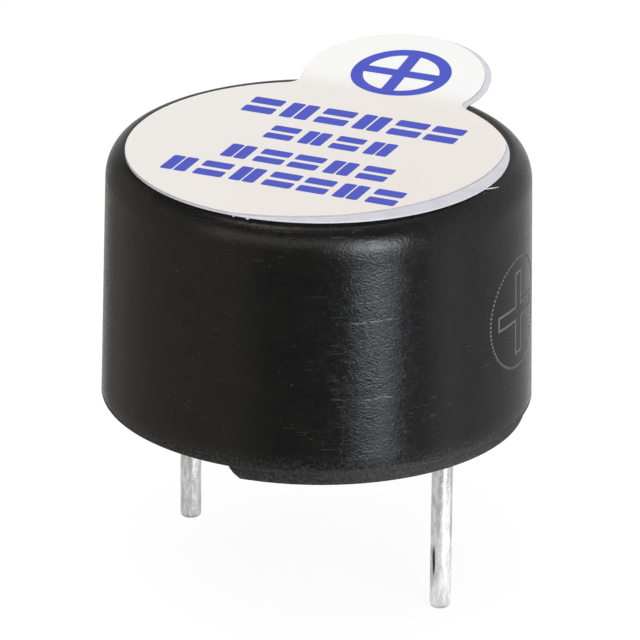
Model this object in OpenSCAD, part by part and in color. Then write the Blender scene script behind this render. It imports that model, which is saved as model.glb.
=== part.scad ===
// A round magnetic buzzer for a circuit board, with its washing seal still on.
// Millimetres. The origin is the centre of the seating plane under the feet. +Z is up, the pins point
// down, and +X points to the positive pin.

/* [Case] */
// Diameter of the case at its open rim
case_d = 12; // [11.6:0.1:13]
// Thickness of the side wall at the rim
case_wall = 0.8; // [0.7:0.05:0.9]
// How far the side wall leans in over its whole height, for the mould
case_draft = 0.13; // [0.05:0.01:0.2]
// Radius of the rounded edge round the top
top_round = 0.6; // [0.3:0.05:0.7]
// Thickness of the top over the sound chamber
roof_t = 0.7; // [0.5:0.05:1]
// Height of the free space from the support ring up to the roof
chamber_h = 1; // [0.8:0.05:2]
// Width of the step that the support ring stops against
step_w = 0.6; // [0.4:0.05:0.8]
// Diameter of the sound hole
sound_hole_d = 2.2; // [1.5:0.1:3]
// Bevel inside the sound hole's lower edge
hole_bevel = 0.15; // [0.05:0.05:0.3]
// Bevel inside the open rim that guides the inner parts in
mouth_bevel = 0.15; // [0.05:0.05:0.2]

/* [Feet] */
// Height of the feet under the rim
foot_h = 0.4; // [0.2:0.05:0.8]
// How far the feet stand back from the outside of the rim
foot_inset = 0.18; // [0.1:0.01:0.25]
// Width of the feet from outside to inside
foot_w = 0.46; // [0.3:0.02:0.46]
// Angle that each foot covers
foot_angle = 114; // [60:2:140]
// Direction in which the first foot starts, from the positive pin
foot_start = -92; // [-120:1:-60]
// Length of the bevel at each end of a foot, along its arc
foot_bevel = 0.5; // [0.2:0.05:0.8]
// Height of that bevel
foot_bevel_h = 0.26; // [0.1:0.02:0.3]

/* [Seal label] */
// Diameter of the round part of the label
label_d = 10.56; // [9.5:0.02:10.8]
// Thickness of the label
label_t = 0.1; // [0.06:0.01:0.4]
// How far the round part sits off the case's centre, away from the tab
label_shift = 0.4; // [0:0.01:0.5]
// Diameter of the pull tab
tab_d = 5.34; // [4:0.02:6.5]
// Distance from the case's centre to the tab's centre
tab_reach = 5.5; // [4.8:0.02:6]
// Radius of the inside corners where the tab leaves the round part
tab_corner = 0.5; // [0.2:0.05:1]
// Angle by which the tab stands up
tab_lift = 7.6; // [2:0.2:12]
// Radius of the bend at the tab's root
tab_bend = 8; // [4:0.5:12]
// Distance from the case's centre to the start of the bend
tab_bend_start = 4.2; // [3.5:0.1:4.8]

/* [Pins] */
// Diameter of the pins
pin_d = 0.6; // [0.4:0.02:0.66]
// Distance between the two pins
pin_pitch = 7.6; // [6.8:0.1:7.8]
// Length of the positive pin under the seating plane
long_pin = 5.56; // [3:0.02:8]
// Length of the negative pin under the seating plane
short_pin = 4.14; // [2.5:0.02:7]
// Radius of the rounded end of a pin
pin_round = 0.1; // [0.04:0.02:0.16]
// Share of the pin's diameter that its squared shank measures across the flats
shank_share = 0.9; // [0.8:0.01:0.94]
// Height of the shank above the board
shank_proud = 0.3; // [0.1:0.05:0.6]
// Length of round pin that still shows above the seating plane
pin_show = 0.6; // [0.3:0.05:0.6]

/* [Board and resin] */
// Depth of the resin under the board
resin_t = 1.35; // [1.3:0.05:2]
// Depth from the rim up to the resin
resin_recess = 0.25; // [0.22:0.01:0.6]
// Thickness of the circuit board
board_t = 0.6; // [0.4:0.1:1]
// Gap between the board and the case
board_gap = 0.1; // [0.05:0.01:0.15]
// Thickness of the copper on the board
copper_t = 0.05; // [0.03:0.01:0.07]
// Width of the copper tracks
track_w = 0.3; // [0.2:0.02:0.36]
// Width of the copper ring round a pin hole
pin_pad_w = 0.42; // [0.3:0.02:0.5]
// Height of the solder round a pin
pin_solder_h = 0.45; // [0.3:0.05:0.7]
// Gap between a pin's corners and its hole in the board
pin_hole_gap = 0.04; // [0.02:0.01:0.08]
// Size of the half-round notch in the board's edge
board_notch_d = 0.8; // [0.5:0.1:1]

/* [Magnetic drive] */
// Thickness of the yoke plate
yoke_t = 0.8; // [0.6:0.05:1.2]
// Gap round the yoke plate and the support ring in the case
ring_fit = 0.05; // [0.02:0.01:0.08]
// Height of the support ring
ring_h = 2.5; // [2.4:0.05:3.5]
// Thickness of the support ring's lower wall
ring_wall = 1.1; // [0.95:0.05:1.2]
// Thickness of the support ring's upper lip
ring_lip = 0.55; // [0.5:0.02:0.6]
// Depth of the seat that holds the diaphragm
seat_depth = 0.35; // [0.2:0.05:0.5]
// Height of the magnet
magnet_h = 1.6; // [1:0.05:1.75]
// Width of the magnet ring from outside to inside
magnet_w = 1.3; // [0.9:0.05:1.5]
// Gap between the magnet and the support ring
magnet_fit = 0.05; // [0.02:0.01:0.08]
// Bevel on the magnet's edges
magnet_bevel = 0.1; // [0.05:0.01:0.15]
// Diameter of the iron core
core_d = 2; // [1.8:0.05:2.2]
// Gap between the core's top and the diaphragm
air_gap = 0.15; // [0.1:0.01:0.3]
// Diameter of the core's stem through the yoke plate
stem_d = 1.4; // [1:0.05:1.5]
// Gap round the stem in its hole
stem_fit = 0.01; // [0.01:0.01:0.03]
// Diameter of the rivet head that holds the core
rivet_d = 1.9; // [1.7:0.05:2]
// Height of the rivet head
rivet_h = 0.28; // [0.2:0.02:0.36]
// Gap round the rivet head in the board's middle hole
rivet_gap = 0.15; // [0.1:0.01:0.2]
// Height of the coil
coil_h = 1.8; // [1.2:0.06:1.85]
// Gap between the coil and the magnet
coil_gap = 0.3; // [0.25:0.01:0.4]
// Gap between the coil and the core
coil_fit = 0.02; // [0.01:0.01:0.05]
// Diameter of the coil's wire
wire_d = 0.12; // [0.08:0.01:0.14]
// Height above the yoke plate at which the wire ends leave the coil
lead_h = 0.16; // [0.12:0.01:0.4]
// Direction of the first wire end, seen from above and counted from the positive pin
lead_turn = -30; // [-45:1:-20]
// Gap between a wire end and its hole
lead_hole_gap = 0.09; // [0.06:0.01:0.1]
// Thickness of the diaphragm
diaphragm_t = 0.08; // [0.05:0.01:0.12]
// Gap round the diaphragm in its seat
diaphragm_gap = 0.1; // [0.05:0.01:0.15]
// Diameter of the weight on the diaphragm
weight_d = 4; // [3:0.1:5]
// Thickness of that weight
weight_t = 0.4; // [0.3:0.05:0.6]

/* [Small parts on the board] */
// Length of the transistor's body
transistor_l = 2.9; // [2.6:0.05:3.1]
// Width of the transistor's body
transistor_w = 1.3; // [1.1:0.05:1.4]
// Height of the transistor's body
transistor_h = 0.95; // [0.8:0.05:1]
// Distance between the transistor's two neighbouring leads
transistor_pitch = 1.9; // [1.7:0.05:2]
// Length of the diode's body
diode_l = 1.7; // [1.5:0.05:1.8]
// Width of the diode's body
diode_w = 1.25; // [1:0.05:1.3]
// Height of the diode's body
diode_h = 0.9; // [0.7:0.05:0.95]
// Width of the transistor's leads
lead_w = 0.4; // [0.3:0.02:0.44]
// Thickness of the leads
lead_t = 0.12; // [0.08:0.01:0.15]
// How far a lead reaches out from its body
lead_reach = 0.5; // [0.4:0.02:0.6]
// Length of the resistor
resistor_l = 1.6; // [1.4:0.05:1.7]
// Width of the resistor
resistor_w = 0.8; // [0.6:0.05:0.9]
// Height of the resistor
resistor_h = 0.45; // [0.35:0.05:0.55]
// Length of the resistor's metal ends
resistor_cap_l = 0.3; // [0.2:0.02:0.4]
// Height of the bodies above the copper
standoff = 0.05; // [0.03:0.01:0.08]
// Gap between the resin and what it surrounds
resin_gap = 0.01; // [0.01:0.005:0.02]

/* [Hidden] */
$fn = 96;

// How far a cutting shape runs past the face it cuts
past = 1;
// How far a foot runs up into the wall that carries it
foot_root = 0.1;
// How far two outlines that would only touch reach over each other, so that they cross
cross_over = 0.002;

// Levels from the seating plane up
rim_z = foot_h;
resin_z = rim_z + resin_recess;
board_z = resin_z + resin_t;
yoke_z = board_z + board_t;
drive_z = yoke_z + yoke_t;
step_z = drive_z + ring_h;
roof_z = step_z + chamber_h;
top_z = roof_z + roof_t;
seat_z = step_z - seat_depth;
core_top = seat_z - air_gap;
copper_z = board_z - copper_t;

// Radii from the outside in
case_r = case_d / 2;
bore_r = case_r - case_wall;
mouth_r = bore_r + mouth_bevel;
chamber_r = bore_r - step_w;
foot_r = case_r - foot_inset;
ring_r = bore_r - ring_fit;
ring_in_r = ring_r - ring_wall;
seat_r = ring_r - ring_lip;
diaphragm_r = seat_r - diaphragm_gap;
magnet_r = ring_in_r - magnet_fit;
core_r = core_d / 2;
coil_in_r = core_r + coil_fit;
magnet_in_r = magnet_r - magnet_w;
coil_gap_r = magnet_in_r - coil_gap / 2;
coil_r = coil_gap_r - coil_gap / 2;
board_r = bore_r - board_gap;

// Pins and wire ends
pin_r = pin_d / 2;
pin_x = pin_pitch / 2;
shank_w = pin_d * shank_share;
pin_hole_r = shank_w / sqrt(2) + pin_hole_gap;
pin_pad_r = pin_hole_r + pin_pad_w;
notch_r = pin_pad_r;
lead_x = coil_gap_r * cos(lead_turn);
lead_y = coil_gap_r * sin(lead_turn);
lead_hole_r = wire_d / 2 + lead_hole_gap;
lead_pad_r = 0.4;
lead_solder_r = 0.34;
lead_solder_tip_r = 0.12;
lead_solder_h = 0.3;
lead_end = 0.25;
pin_solder_foot = 0.1;
pin_solder_tip = 0.03;

// Places of the small parts on the board, and the copper pads under their leads
pad_over = 0.1;
edge_room = 0.25;
row_inset = 1.8;
transistor_y = board_r - edge_room - lead_reach - pad_over - transistor_w / 2;
row_y = row_inset - board_r;
diode_x = 1.7;
resistor_x = -2;
small_lead_w = 0.3;
body_side = 0.12;

// How far the tracks stay off the middle hole and the board's edge
track_room = 0.45;
bypass_r = rivet_d / 2 + rivet_gap + track_room;
edge_r = board_r - track_room;
copper_r = board_r - pad_over;

// Slope of the drafted wall, and the centre of the round along the top edge
function wall_r(z) = case_r - case_draft * (z - rim_z) / (top_z - rim_z);
draft_angle = atan(case_draft / (top_z - rim_z));
round_z = top_z - top_round;
round_r = wall_r(round_z) - top_round / cos(draft_angle);
round_touch = [round_r + top_round * cos(draft_angle), round_z + top_round * sin(draft_angle)];

// The label's fillets: each touches the round part and the tab from outside
label_r = label_d / 2;
tab_r = tab_d / 2;
label_span = tab_reach + label_shift;
bend_steps = 10;
fillet_along = (label_span ^ 2 + (label_r + tab_corner) ^ 2 - (tab_r + tab_corner) ^ 2) / (2 * label_span);
fillet_across = sqrt((label_r + tab_corner) ^ 2 - fillet_along ^ 2);
fillet_y = fillet_along - label_shift;

module case_section() {
    difference() {
        union() {
            polygon([
                [0, rim_z], [case_r, rim_z], round_touch, [round_r, round_z], [round_r, top_z], [0, top_z]
            ]);
            translate([round_r, round_z]) circle(top_round);
        }
        polygon([
            [0, rim_z - past], [mouth_r, rim_z - past], [mouth_r, rim_z], [bore_r, rim_z + mouth_bevel],
            [bore_r, step_z], [chamber_r, step_z], [chamber_r, roof_z],
            [sound_hole_d / 2 + hole_bevel, roof_z], [sound_hole_d / 2, roof_z + hole_bevel],
            [sound_hole_d / 2, top_z + past], [0, top_z + past]
        ]);
    }
}

module foot() {
    difference() {
        rotate_extrude(angle = foot_angle) translate([foot_r - foot_w, 0])
            square([foot_w, foot_h + foot_root]);
        for (end = [0, 1]) mirror([0, end, 0]) rotate(-end * foot_angle) foot_end();
    }
}

// The wedge cut from the lower corner of a foot where its arc starts
module foot_end() {
    cut_l = foot_bevel * (1 + past / foot_bevel_h);
    translate([foot_r - foot_w - past, 0, 0]) rotate([90, 0, 90]) linear_extrude(foot_w + 2 * past)
        polygon([[-past, -past], [cut_l, -past], [0, foot_bevel_h], [-past, foot_bevel_h]]);
}

module case() {
    color([0.1, 0.1, 0.1]) union() {
        rotate_extrude() case_section();
        for (side = [0, 180]) rotate(foot_start + side) foot();
    }
}

module label_outline() {
    translate([0, -label_shift]) circle(label_r);
    translate([0, tab_reach]) circle(tab_r);
    difference() {
        polygon([
            [0, -label_shift], [fillet_across, fillet_y], [0, tab_reach], [-fillet_across, fillet_y]
        ]);
        for (side = [-1, 1]) translate([side * fillet_across, fillet_y]) circle(tab_corner + cross_over);
    }
}

// A point of the bend at the tab's root, and the far end of the tab's straight part
function bend_point(radius, turn) = [tab_bend_start + radius * sin(turn), tab_bend - radius * cos(turn)];
function tab_end(radius) = bend_point(radius, tab_lift) + tab_reach * [cos(tab_lift), sin(tab_lift)];

// The label seen from the side: flat on the case, then bent up into the tab
module label_side() {
    flat_l = label_r + label_shift + past;
    turns = [for (i = [0:bend_steps]) tab_lift * i / bend_steps];
    polygon(concat(
        [[-flat_l, label_t], [-flat_l, 0]],
        [for (i = [0:bend_steps]) bend_point(tab_bend, turns[i])],
        [tab_end(tab_bend), tab_end(tab_bend - label_t)],
        [for (i = [bend_steps:-1:0]) bend_point(tab_bend - label_t, turns[i])]
    ));
}

module seal_label() {
    color([0.95, 0.94, 0.92]) intersection() {
        translate([0, 0, top_z - past])
            linear_extrude(3 * past + tab_reach * tan(tab_lift)) label_outline();
        translate([-label_r - past, 0, top_z])
            rotate([90, 0, 90]) linear_extrude(2 * (label_r + past)) label_side();
    }
}

// A pin: round and free below, squared where the resin and the board hold it
module pin(free_l) {
    rotate_extrude() {
        polygon([
            [0, -free_l], [pin_r - pin_round, -free_l], [pin_r - pin_round, pin_round - free_l],
            [pin_r, pin_round - free_l], [pin_r, pin_show], [0, pin_show]
        ]);
        translate([pin_r - pin_round, pin_round - free_l]) circle(pin_round);
    }
    shank();
}

module shank(grow = 0) {
    translate([0, 0, pin_show - grow]) linear_extrude(yoke_z + shank_proud - pin_show + grow)
        square(shank_w + 2 * grow, center = true);
}

module positive_pin() {
    color([0.8, 0.8, 0.82]) translate([pin_x, 0, 0]) pin(long_pin);
}

module negative_pin() {
    color([0.8, 0.8, 0.82]) translate([-pin_x, 0, 0]) pin(short_pin);
}

// Both pin places and both wire places, for what comes in pairs
module at_pins() {
    for (side = [-1, 1]) translate([side * pin_x, 0, 0]) children();
}

module at_leads() {
    for (side = [-1, 1]) translate([side * lead_x, side * lead_y, 0]) children();
}

module circuit_board() {
    color([0.75, 0.68, 0.42]) translate([0, 0, board_z]) linear_extrude(board_t) difference() {
        circle(board_r);
        circle(rivet_d / 2 + rivet_gap);
        at_pins() circle(pin_hole_r);
        at_leads() circle(lead_hole_r);
        translate([0, board_r]) circle(board_notch_d / 2);
    }
}

// A straight copper track with round ends, from one point to the next of a route
module track(route) {
    for (i = [1 : len(route) - 1]) {
        step = route[i] - route[i - 1];
        translate(route[i - 1]) rotate(atan2(step.y, step.x)) translate([0, -track_w / 2])
            square([norm(step), track_w]);
        translate(route[i]) circle(track_w / 2 - cross_over);
    }
}

// The pad under a lead that points along +X from the origin
module lead_pad(width) {
    translate([-lead_reach / 2, -width / 2 - pad_over])
        square([lead_reach * 1.5 + pad_over, width + 2 * pad_over]);
}

// Pads under a part with two ends along X
module two_pads(length, width, over) {
    for (side = [-1, 1]) translate([side * (length - over) / 2, 0])
        square([over + 2 * pad_over, width + 2 * pad_over], center = true);
}

// Pads and tracks, kept clear of the board's edge. The supply runs from the positive pin through the diode
// to the coil, and from there through the transistor to the negative pin. The resistor joins the supply to
// the transistor's third lead.
module copper_outline() {
    across = lead_reach / 2;
    diode_end = diode_l / 2 + across;
    diode_near = [diode_x - diode_end, row_y];
    lead_row = transistor_y - transistor_w / 2 - across;
    lead_tip = transistor_y + transistor_w / 2 + across;
    resistor_end = (resistor_l - resistor_cap_l) / 2;
    intersection() {
        circle(copper_r);
        union() {
            at_pins() circle(pin_pad_r);
            at_leads() circle(lead_pad_r);
            translate([0, transistor_y]) transistor_places() lead_pad(lead_w);
            translate([diode_x, row_y]) diode_places() lead_pad(small_lead_w);
            translate([resistor_x, row_y]) two_pads(resistor_l, resistor_w, resistor_cap_l);
            track([[pin_x, 0], [pin_x, row_y / 2], [diode_x + diode_end, row_y]]);
            track([diode_near, [lead_x, lead_y]]);
            track([[-lead_x, -lead_y], [-lead_x, lead_row], [-transistor_l / 2, edge_r], [0, lead_tip]]);
            track([
                [-transistor_pitch / 2, lead_row], [-bypass_r, -lead_y],
                [-bypass_r, bypass_r / 4], [-pin_x, 0]
            ]);
            track([
                [transistor_pitch / 2, lead_row], [bypass_r, bypass_r / 2], [bypass_r, -bypass_r / 2],
                [bypass_r / 2, -bypass_r], [-bypass_r / 2, -bypass_r], [resistor_x + resistor_end, row_y]
            ]);
            track([[resistor_x - resistor_end, row_y], [resistor_x, -edge_r], [0, -edge_r], diode_near]);
        }
    }
}

module board_copper() {
    color([0.85, 0.5, 0.3]) translate([0, 0, copper_z]) linear_extrude(copper_t) difference() {
        copper_outline();
        at_pins() circle(pin_hole_r);
        at_leads() circle(lead_hole_r);
    }
}

module pin_solder(grow = 0) {
    translate([0, 0, copper_z - pin_solder_h - grow]) cylinder(
        h = pin_solder_h + grow,
        r1 = pin_hole_r + pin_solder_tip + grow,
        r2 = pin_pad_r - pin_solder_foot + grow
    );
}

module lead_solder(grow = 0) {
    translate([0, 0, copper_z - lead_solder_h - grow])
        cylinder(h = lead_solder_h + grow, r1 = lead_solder_tip_r + grow, r2 = lead_solder_r + grow);
}

module pin_joints(grow = 0) {
    intersection() {
        at_pins() pin_solder(grow);
        cylinder(h = yoke_z, r = board_r);
    }
}

module solder_joints() {
    color([0.75, 0.75, 0.78]) {
        difference() {
            pin_joints();
            at_pins() shank();
        }
        at_leads() difference() {
            lead_solder();
            translate([0, 0, board_z - lead_end]) cylinder(h = board_t, r = wire_d / 2);
        }
    }
}

// A moulded body hanging under the board, its sides drawn in towards both faces
module small_body(length, width, height, grow = 0) {
    low = copper_z - standoff - height - grow;
    high = copper_z - standoff + grow;
    middle = (low + high) / 2;
    half = width / 2 + grow;
    translate([-length / 2 - grow, 0, 0]) rotate([90, 0, 90]) linear_extrude(length + 2 * grow) polygon([
        [body_side - half, low], [half - body_side, low], [half, middle],
        [half - body_side, high], [body_side - half, high], [-half, middle]
    ]);
}

// A bent lead that leaves its body along +X at half height and turns up to the copper
module bent_lead(width, height, grow = 0) {
    middle = copper_z - standoff - height / 2;
    knee = lead_reach / 2 - lead_t;
    translate([0, width / 2 + grow, 0]) rotate([90, 0, 0]) linear_extrude(width + 2 * grow) polygon([
        [0, middle - lead_t / 2 - grow], [knee + lead_t + grow, middle - lead_t / 2 - grow],
        [knee + lead_t + grow, copper_z - lead_t - grow], [lead_reach + grow, copper_z - lead_t - grow],
        [lead_reach + grow, copper_z], [knee - grow, copper_z], [knee - grow, middle + lead_t / 2 + grow],
        [0, middle + lead_t / 2 + grow]
    ]);
}

// Where the transistor's three leads leave its body
module transistor_places() {
    for (side = [-1, 1]) translate([side * transistor_pitch / 2, -transistor_w / 2]) rotate(-90) children();
    translate([0, transistor_w / 2]) rotate(90) children();
}

// Where the diode's two leads leave its body
module diode_places() {
    for (turn = [0, 180]) rotate(turn) translate([diode_l / 2, 0]) children();
}

module transistor() {
    color([0.12, 0.12, 0.13]) translate([0, transistor_y, 0])
        small_body(transistor_l, transistor_w, transistor_h);
}

module transistor_leads() {
    color([0.75, 0.75, 0.77]) translate([0, transistor_y, 0])
        transistor_places() bent_lead(lead_w, transistor_h);
}

module diode() {
    color([0.15, 0.15, 0.16]) translate([diode_x, row_y, 0]) small_body(diode_l, diode_w, diode_h);
}

module diode_leads() {
    color([0.75, 0.75, 0.77])
        translate([diode_x, row_y, 0]) diode_places() bent_lead(small_lead_w, diode_h);
}

module resistor_block(length, grow = 0) {
    translate([-length / 2 - grow, -resistor_w / 2 - grow, copper_z - resistor_h - grow])
        cube([length + 2 * grow, resistor_w + 2 * grow, resistor_h + grow]);
}

module resistor() {
    color([0.16, 0.16, 0.18]) translate([resistor_x, row_y, 0])
        resistor_block(resistor_l - 2 * resistor_cap_l);
}

module resistor_ends() {
    along = (resistor_l - resistor_cap_l) / 2;
    color([0.78, 0.78, 0.8]) for (side = [-1, 1])
        translate([resistor_x + side * along, row_y, 0]) resistor_block(resistor_cap_l);
}

module resin() {
    color([0.14, 0.13, 0.13]) difference() {
        translate([0, 0, resin_z]) cylinder(h = resin_t, r = bore_r);
        translate([0, 0, copper_z]) linear_extrude(copper_t + past) copper_outline();
        at_pins() shank(resin_gap);
        pin_joints(resin_gap);
        at_leads() lead_solder(resin_gap);
        translate([0, transistor_y, 0]) {
            small_body(transistor_l, transistor_w, transistor_h, resin_gap);
            transistor_places() bent_lead(lead_w, transistor_h, resin_gap);
        }
        translate([diode_x, row_y, 0]) {
            small_body(diode_l, diode_w, diode_h, resin_gap);
            diode_places() bent_lead(small_lead_w, diode_h, resin_gap);
        }
        translate([resistor_x, row_y, 0]) resistor_block(resistor_l, resin_gap);
    }
}

module yoke_plate() {
    color([0.7, 0.7, 0.68]) translate([0, 0, yoke_z]) linear_extrude(yoke_t) difference() {
        circle(ring_r);
        circle(stem_d / 2 + stem_fit);
        at_leads() circle(lead_hole_r);
        for (turn = [0, 180]) rotate(turn) {
            translate([pin_x, 0]) circle(notch_r);
            translate([pin_x, cross_over - notch_r]) square([ring_r, 2 * (notch_r - cross_over)]);
        }
    }
}

module core() {
    edge = rivet_h / 2;
    color([0.62, 0.62, 0.6]) rotate_extrude() polygon([
        [0, yoke_z - rivet_h], [rivet_d / 2 - edge, yoke_z - rivet_h], [rivet_d / 2, yoke_z - edge],
        [rivet_d / 2, yoke_z], [stem_d / 2, yoke_z], [stem_d / 2, drive_z], [core_r, drive_z],
        [core_r, core_top], [0, core_top]
    ]);
}

// The winding, with the turns of its outer layer standing out of the pack
module coil() {
    turns = floor(coil_h / wire_d);
    pitch = coil_h / turns;
    color([0.72, 0.36, 0.18]) rotate_extrude() {
        translate([coil_in_r, drive_z]) square([coil_r - coil_in_r - wire_d / 2, coil_h]);
        for (i = [0 : turns - 1])
            translate([coil_r - wire_d / 2 - pitch / 4, drive_z + pitch * i])
                square([pitch / 4 + wire_d / 4, pitch]);
        for (i = [0 : turns - 1])
            translate([coil_r - wire_d / 2, drive_z + pitch * (i + 0.5)]) circle(wire_d / 2, $fn = 24);
    }
}

module coil_leads() {
    color([0.72, 0.36, 0.18]) for (side = [0, 180]) rotate(lead_turn + side) {
        translate([coil_r, 0, drive_z + lead_h])
            rotate([0, 90, 0]) cylinder(h = coil_gap / 2, r = wire_d / 2, $fn = 24);
        translate([coil_gap_r, 0, drive_z + lead_h]) sphere(wire_d / 2, $fn = 24);
        translate([coil_gap_r, 0, board_z - lead_end])
            cylinder(h = drive_z + lead_h - board_z + lead_end, r = wire_d / 2, $fn = 24);
    }
}

module magnet_ring() {
    b = magnet_bevel;
    color([0.23, 0.23, 0.25]) rotate_extrude() polygon([
        [magnet_in_r + b, drive_z], [magnet_r - b, drive_z], [magnet_r, drive_z + b],
        [magnet_r, drive_z + magnet_h - b], [magnet_r - b, drive_z + magnet_h],
        [magnet_in_r + b, drive_z + magnet_h], [magnet_in_r, drive_z + magnet_h - b],
        [magnet_in_r, drive_z + b]
    ]);
}

module support_ring() {
    color([0.86, 0.85, 0.8]) rotate_extrude() polygon([
        [ring_in_r, drive_z], [ring_r, drive_z], [ring_r, step_z], [seat_r, step_z], [seat_r, seat_z],
        [ring_in_r, seat_z]
    ]);
}

module diaphragm() {
    color([0.7, 0.71, 0.73]) translate([0, 0, seat_z]) cylinder(h = diaphragm_t, r = diaphragm_r);
}

module diaphragm_weight() {
    color([0.5, 0.5, 0.52]) translate([0, 0, seat_z + diaphragm_t]) cylinder(h = weight_t, d = weight_d);
}

case();
seal_label();
positive_pin();
negative_pin();
resin();
circuit_board();
board_copper();
solder_joints();
transistor();
transistor_leads();
diode();
diode_leads();
resistor();
resistor_ends();
yoke_plate();
core();
coil();
coil_leads();
magnet_ring();
support_ring();
diaphragm();
diaphragm_weight();
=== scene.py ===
import math

import bmesh
import bpy
from mathutils import Matrix, Vector


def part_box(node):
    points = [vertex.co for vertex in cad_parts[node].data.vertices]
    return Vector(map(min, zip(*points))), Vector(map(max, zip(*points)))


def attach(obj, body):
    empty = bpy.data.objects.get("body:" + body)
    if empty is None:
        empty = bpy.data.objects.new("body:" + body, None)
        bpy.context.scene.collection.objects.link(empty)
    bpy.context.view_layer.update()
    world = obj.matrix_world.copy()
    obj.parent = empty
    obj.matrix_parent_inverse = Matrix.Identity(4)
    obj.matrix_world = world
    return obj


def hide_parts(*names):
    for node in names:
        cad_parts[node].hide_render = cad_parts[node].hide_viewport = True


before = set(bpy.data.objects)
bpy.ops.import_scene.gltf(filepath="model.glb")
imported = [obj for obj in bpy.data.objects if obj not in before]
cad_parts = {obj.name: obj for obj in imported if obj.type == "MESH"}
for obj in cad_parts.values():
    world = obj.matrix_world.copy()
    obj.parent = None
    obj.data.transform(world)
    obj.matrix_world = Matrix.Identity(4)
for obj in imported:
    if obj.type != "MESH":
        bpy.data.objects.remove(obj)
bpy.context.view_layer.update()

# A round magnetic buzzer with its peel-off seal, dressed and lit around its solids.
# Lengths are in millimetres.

MM = 0.001
# Corners closer than this, in metres, become one
MERGE = 0.000001


def box_mm(node):
    """The low and the high corner of a solid's box, in millimetres."""
    low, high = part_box(node)
    return low / MM, high / MM


# Sizes read from the solids
CASE_R = -box_mm("case")[0].x
TOP_Z = box_mm("case")[1].z
PIN_X = (box_mm("positive_pin")[0].x + box_mm("positive_pin")[1].x) / 2
PIN_R = (box_mm("positive_pin")[1].x - box_mm("positive_pin")[0].x) / 2
LONG_END = box_mm("positive_pin")[0].z
SHORT_END = box_mm("negative_pin")[0].z
PIN_TOP = box_mm("positive_pin")[1].z
RESIN_Z = box_mm("resin")[0].z
BORE_R = box_mm("resin")[1].x

# Sizes of the case that its box doesn't give
RIM_Z = 0.4
DRAFT = 0.13
TOP_ROUND = 0.6
TOP_ROUND_H = 0.88
RIM_ROUND = 0.035
ROOF_Z = 6.9
STEP_Z = 5.9
CHAMBER_R = 4.6
HOLE_R = 1.1
HOLE_BEVEL = 0.15
HOLE_ROUND = 0.05
MOUTH_BEVEL = 0.15
FOOT_OUT = 5.82
FOOT_IN = 5.36
FOOT_ROOT = 0.1
FOOT_TURN = -92
FOOT_SWEEP = 114
FOOT_BEVEL = 0.5
FOOT_BEVEL_H = 0.26
FOOT_ROUND = 0.035
FOOT_ROUND_FROM = 30

# Sizes of the label: a backing film, and a face paper that sits on it a little towards the back left
LABEL_X = 0.11
LABEL_R = 5.28
LABEL_T = 0.1
LABEL_SHIFT = 0.4
LABEL_ROUND = 0.012
LABEL_ROUND_FROM = 40
BACKING_T = 0.045
FACE_X = -0.84
FACE_Y = 0.2
FACE_R = 5.88
FACE_TAB_X = 0.0
FACE_TAB_R = 2.61
TAB_R = 2.67
TAB_REACH = 5.5
TAB_CORNER = 0.5
TAB_LIFT = 7.6
TAB_BEND = 8
TAB_BEND_START = 4.2
BEND_STEPS = 10
# How far a corner lies past a hinge when it turns with it, and the sign of a turn upwards
HINGE_SLACK = 0.005
BEND_SIGN = -1
# A face that lies flatter than this is print ground, the others are the cut edge
FLAT_FACE = 0.75

# Sizes of the pins: round wire with a lumpy coat of tin, and a square shank where it doesn't show
PIN_ROUND = 0.1
PIN_SHOW = 0.6
PIN_RING = 0.12
SHANK_W = 0.54
SHANK_LAP = 0.02
SHANK_ROUND = 0.02
TIN_LUMP = 0.9
TIN_DEPTH = 0.012
PIN_SCRATCH = (PIN_X - 0.11, -0.28, -4.1)

# Print on the label: rows of plain bars, each with its left and right end, lower and upper edge and pattern
INK_T = 0.008
INK_LIFT = 0.003
INK_DRAWN_Z = TOP_Z + 1
ROW_TURN = -1.1
CELL_GAP = 0.16
BAR_SHARE = 0.41
BAR_ROUND = 0.07
ROWS = [
    (-3.05, 3.35, 1.5, 2.66, "=|=|=="),
    (-1.65, 2.1, -0.17, 0.82, "=|=|"),
    (-2.2, 2.72, -1.95, -0.95, "|==|="),
    (-3.3, 3.66, -3.48, -2.42, "|=|==|="),
]
RING_Y = 5.71
RING_X = 0.16
RING_OUT = 1.425
RING_IN = 1.08
CROSS_W = 0.36
CROSS_CUTS = (24, 4)

# Long scratches on the wall, each with its start and end round the wall and its level
SCRATCHES = [(-6.45, -4.8, 4.79), (-6.0, -4.85, 2.54), (-6.15, -5.3, 5.35)]
SCRATCH_SWAY = 0.16
SCRATCH_FADE = 0.3
SCRATCH_HALF = (0.03, 0.01)

# Where the finishes change: up the wall, across and along the label, and above a pin's end
RUBBED_Z = (1.1, 0.25)
SHOULDER_LOW_Z = (6.3, 6.7)
SHOULDER_HIGH_Z = (7.5, 7.2)
ROUGH_RIM_Z = (0.56, 0.46)
# Painted light and shade on the label: darker and pinker at the right, lighter towards the left, and lighter
# towards the back
LABEL_LIT_LEFT_X = (3.5, -4.5)
LABEL_LIT_BACK_Y = (-2.5, 3.5)
# Painted light: the label turns whiter on the tab where it lifts off the case
TAB_LIT_Y = (4.0, 5.4)
BROWNED_UP_TO = (0.2, 0.08)

# Polarity mark on the side of the case
MARK_Z = 3.7
MARK_R = 1.58
MARK_STEP = 0.125
DOT_R = 0.044
DOT_H = 0.03
DOT_EDGE = 0.012
DOT_EDGE_H = 0.004
DOT_SINK = 0.011
DOT_SIDES = 10
PLUS_REACH = 1.17
PLUS_HALF = 0.19
PLUS_STEP = 0.062

# Dried glue: each bit's place, from the label's level, its size, its length in sizes and its turn
GLUE = [
    (5.47, -0.97, 0.0, 0.02, 10.5, 47),
    (0.24, -5.67, -0.02, 0.03, 1.6, 5),
    (-0.17, -5.66, -0.02, 0.026, 1.3, 0),
]
GLUE_H = 0.8
GLUE_LUMP = 0.2
GLUE_DEPTH = 0.03

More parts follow.
